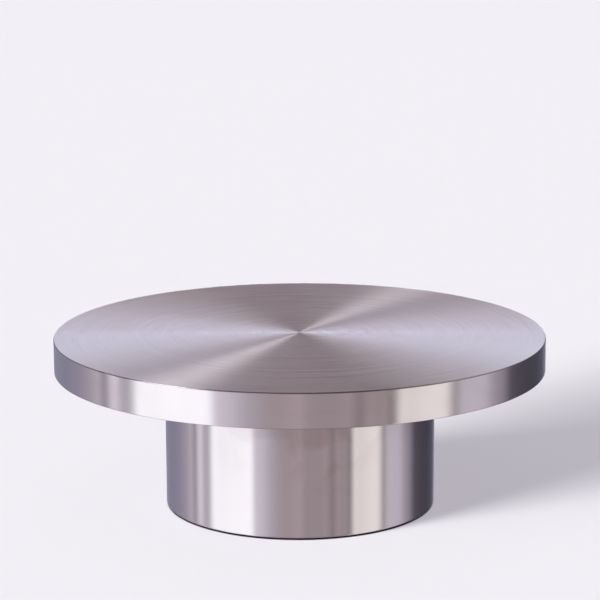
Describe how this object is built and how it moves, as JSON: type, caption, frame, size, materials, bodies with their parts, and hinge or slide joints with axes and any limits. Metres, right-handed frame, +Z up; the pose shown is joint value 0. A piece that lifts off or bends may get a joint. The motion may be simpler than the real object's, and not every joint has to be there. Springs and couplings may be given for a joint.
{
  "type": "cake turntable",
  "caption": "Round brushed-steel turntable whose shallow pan top turns on a bearing spindle above a plain steel drum with rubber feet.",
  "frame": {"origin": "on the spin axis, at the surface that the rubber feet stand on", "axes": "+Z up along the spin axis; the object is round, so +X only points through one foot and the circlip's opening"},
  "size_m": [0.305, 0.305, 0.108],
  "materials": {
    "brushed_sheet": "brushed",
    "plain_sheet": "satin",
    "mild_steel": "satin",
    "coated_steel": "matte",
    "turned_steel": "satin",
    "screw_steel": "satin",
    "spring_steel": "satin",
    "bearing_steel": "polished",
    "cage_nylon": "matte",
    "seal_rubber": "matte",
    "housing_alloy": "satin",
    "cap_plastic": "matte",
    "board": "matte",
    "foot_rubber": "matte"
  },
  "bodies": {
    "base": {"bearing_housing": "housing_alloy", "housing_screws": "screw_steel", "upper_outer_ring": "bearing_steel", "lower_outer_ring": "bearing_steel", "upper_seals": "seal_rubber", "lower_seals": "seal_rubber", "preload_spring": "spring_steel", "dust_cap": "cap_plastic", "deck_plate": "mild_steel", "deck_screws": "screw_steel", "drum_shell": "brushed_sheet", "pillars": "mild_steel", "base_plate": "coated_steel", "base_screws": "screw_steel", "rubber_feet": "foot_rubber", "foot_screws": "screw_steel"},
    "turntable": {"top_pan": "brushed_sheet", "core_board": "board", "hub_plate": "mild_steel", "underside_plate": "plain_sheet", "underside_screws": "screw_steel", "spindle": "turned_steel", "hub_screws": "screw_steel", "upper_inner_ring": "bearing_steel", "lower_inner_ring": "bearing_steel", "ring_spacer": "turned_steel", "shim_washer": "spring_steel", "circlip": "spring_steel"},
    "upper_cage": {"upper_ball_cage": "cage_nylon", "upper_balls": "bearing_steel"},
    "lower_cage": {"lower_ball_cage": "cage_nylon", "lower_balls": "bearing_steel"}
  },
  "joints": [
    {"name": "turntable_spin", "type": "hinge", "parent": "base", "child": "turntable", "pos_m": [0, 0, 0.087], "axis": [0, 0, 1], "continuous": true},
    {"name": "upper_cage_spin", "type": "hinge", "parent": "base", "child": "upper_cage", "pos_m": [0, 0, 0.075], "axis": [0, 0, 1], "continuous": true},
    {"name": "lower_cage_spin", "type": "hinge", "parent": "base", "child": "lower_cage", "pos_m": [0, 0, 0.0455], "axis": [0, 0, 1], "continuous": true}
  ],
  "couplings": [
    {"joint": "upper_cage_spin", "follows": "turntable_spin", "ratio": 0.39758},
    {"joint": "lower_cage_spin", "follows": "turntable_spin", "ratio": 0.39758}
  ]
}
